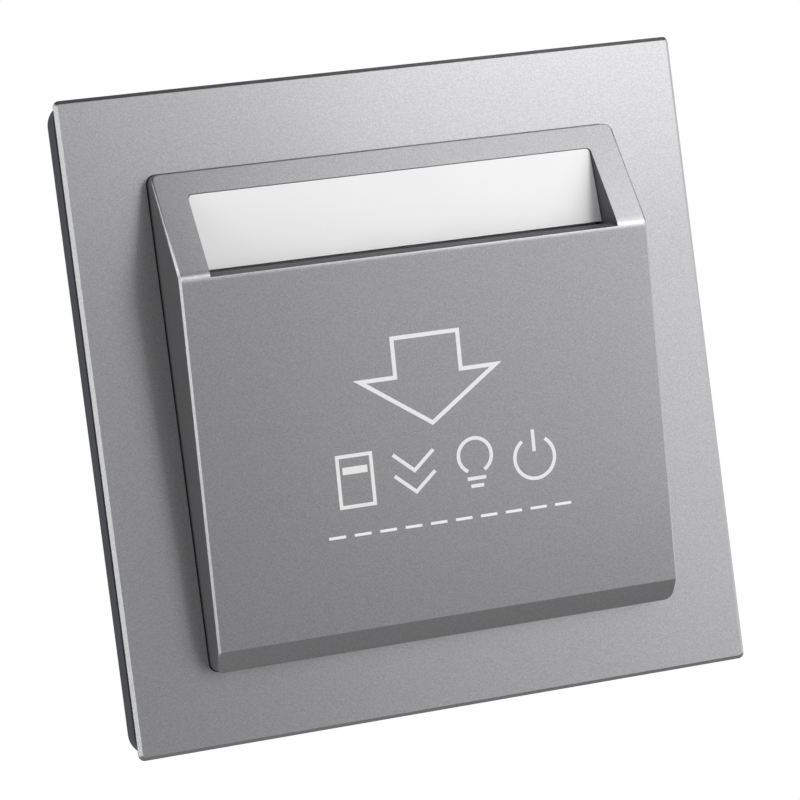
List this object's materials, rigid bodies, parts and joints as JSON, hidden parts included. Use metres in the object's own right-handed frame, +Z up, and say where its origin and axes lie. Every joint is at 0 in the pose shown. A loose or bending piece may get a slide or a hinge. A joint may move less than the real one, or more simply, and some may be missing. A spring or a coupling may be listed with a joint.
{
  "type": "hotel key card switch",
  "caption": "Flush wall switch with a raised pocket for a key card, a sloped lit mouth, a square frame, and a rear box with screw terminals.",
  "frame": {"origin": "on the wall plane, midway between the two wall screws, which is the middle of the carrier plate's rear face", "axes": "+Y goes into the wall along the screws, +Z is up and +X is right as seen from the room"},
  "size_m": [0.086, 0.042, 0.086],
  "materials": {
    "frame_paint": "metallic grey lacquer on plastic, satin",
    "carrier_plastic": "moulded grey plastic, matt",
    "panel_white": "milky white light-spreading plastic, satin",
    "guide_white": "moulded white plastic, matt",
    "clear_plastic": "clear moulded light guide",
    "lever_plastic": "black acetal, satin",
    "steel": "zinc-plated steel",
    "spring_steel": "drawn spring wire",
    "switch_plastic": "black moulded plastic",
    "plunger_plastic": "red moulded plastic",
    "tinned_copper": "tinned leads",
    "board": "glass-fibre board with green solder mask",
    "light_plastic": "milky moulded lens",
    "film_capacitor_box": "yellow moulded box",
    "capacitor_sleeve": "dark shrink sleeve",
    "varistor_coat": "blue dipped coat",
    "chip_plastic": "black epoxy moulding",
    "resistor_coat": "beige lacquer with colour rings",
    "relay_plastic": "blue moulded cover",
    "relay_base_plastic": "black moulded base",
    "coil_copper": "enamelled copper winding",
    "relay_iron": "nickel-plated soft iron",
    "contact_brass": "brass strip",
    "block_plastic": "dark grey polyamide",
    "box_plastic": "moulded off-white plastic, matt"
  },
  "bodies": {
    "switch": {"front_frame": "frame_paint", "carrier_plate": "carrier_plastic", "housing": "frame_paint", "light_panel": "panel_white", "card_guide": "guide_white", "light_guide": "clear_plastic", "lever_pin": "steel", "lever_spring": "spring_steel", "microswitch_case": "switch_plastic", "microswitch_pins": "tinned_copper", "circuit_board": "board", "indicator_lights": "light_plastic", "film_capacitor": "film_capacitor_box", "smoothing_capacitor": "capacitor_sleeve", "varistor": "varistor_coat", "rectifier": "chip_plastic", "timer_chip": "chip_plastic", "resistors": "resistor_coat", "relay_base": "relay_base_plastic", "relay_cover": "relay_plastic", "relay_coil": "coil_copper", "relay_yoke": "relay_iron", "relay_contact": "contact_brass", "terminal_block": "block_plastic", "contact_bars": "contact_brass", "rear_box": "box_plastic", "box_screws": "steel", "wall_screws": "steel"},
    "card_lever": {"card_lever": "lever_plastic"},
    "switch_plunger": {"microswitch_plunger": "plunger_plastic"},
    "armature": {"relay_armature": "relay_iron", "relay_blade": "contact_brass"},
    "screw_left": {"terminal_screw_left": "steel"},
    "cage_left": {"terminal_cage_left": "steel"},
    "screw_centre": {"terminal_screw_centre": "steel"},
    "cage_centre": {"terminal_cage_centre": "steel"},
    "screw_right": {"terminal_screw_right": "steel"},
    "cage_right": {"terminal_cage_right": "steel"}
  },
  "joints": [
    {"name": "lever_swing", "type": "hinge", "parent": "switch", "child": "card_lever", "pos_m": [0, -0.0042, -0.007], "axis": [1, 0, 0], "range_deg": [0, 8.5], "stiffness_Nm_per_rad": 0.015, "springref_deg": -11.46, "deforming": ["lever_spring"]},
    {"name": "plunger_press", "type": "slide", "parent": "switch", "child": "switch_plunger", "axis": [0, 1, 0], "range_m": [0, 0.00065]},
    {"name": "armature_tip", "type": "hinge", "parent": "switch", "child": "armature", "pos_m": [-0.0047, 0.0195, 0.0083], "axis": [0, 0, 1], "range_deg": [0, 3.5], "stiffness_Nm_per_rad": 0.01, "springref_deg": -5.73},
    {"name": "screw_turn_left", "type": "hinge", "parent": "switch", "child": "screw_left", "pos_m": [-0.0117, 0.0209, -0.0188], "axis": [0, -1, 0], "range_deg": [0, 2160]},
    {"name": "cage_lift_left", "type": "slide", "parent": "switch", "child": "cage_left", "axis": [0, 1, 0], "range_m": [0, 0.0042]},
    {"name": "screw_turn_centre", "type": "hinge", "parent": "switch", "child": "screw_centre", "pos_m": [0, 0.0209, -0.0188], "axis": [0, -1, 0], "range_deg": [0, 2160]},
    {"name": "cage_lift_centre", "type": "slide", "parent": "switch", "child": "cage_centre", "axis": [0, 1, 0], "range_m": [0, 0.0042]},
    {"name": "screw_turn_right", "type": "hinge", "parent": "switch", "child": "screw_right", "pos_m": [0.0117, 0.0209, -0.0188], "axis": [0, -1, 0], "range_deg": [0, 2160]},
    {"name": "cage_lift_right", "type": "slide", "parent": "switch", "child": "cage_right", "axis": [0, 1, 0], "range_m": [0, 0.0042]}
  ],
  "couplings": [
    {"joint": "plunger_press", "follows": "lever_swing", "m_per_rad": 0.00418},
    {"joint": "screw_turn_left", "follows": "cage_lift_left", "rad_per_m": 8976},
    {"joint": "screw_turn_centre", "follows": "cage_lift_centre", "rad_per_m": 8976},
    {"joint": "screw_turn_right", "follows": "cage_lift_right", "rad_per_m": 8976}
  ]
}
